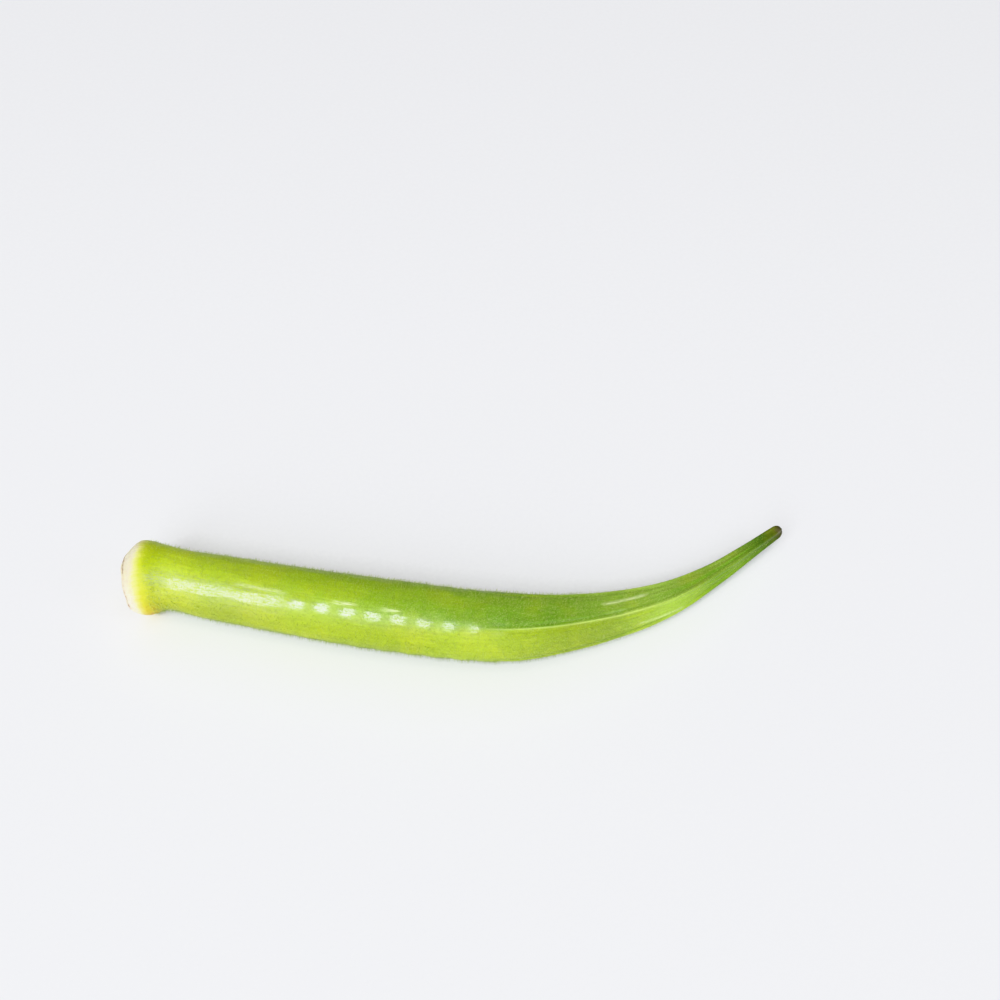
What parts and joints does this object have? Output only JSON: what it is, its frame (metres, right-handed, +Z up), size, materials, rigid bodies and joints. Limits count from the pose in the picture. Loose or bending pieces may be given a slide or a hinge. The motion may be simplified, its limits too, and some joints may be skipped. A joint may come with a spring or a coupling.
{
  "type": "okra pod",
  "caption": "Whole fresh okra pod lying on its side: ribbed, gently bent and downy, with a flared collar round the cut stem scar and a slender blunt point.",
  "frame": {"origin": "middle of the pod's length and width, on the surface it lies on", "axes": "+X from the cut stem end to the point, +Y towards the inside of the bend, +Z up"},
  "size_m": [0.1668, 0.0424, 0.0179],
  "materials": {
    "okra_skin": "satin plant skin with short pale down"
  },
  "bodies": {
    "root": {"okra_pod": "okra_skin"}
  },
  "joints": []
}
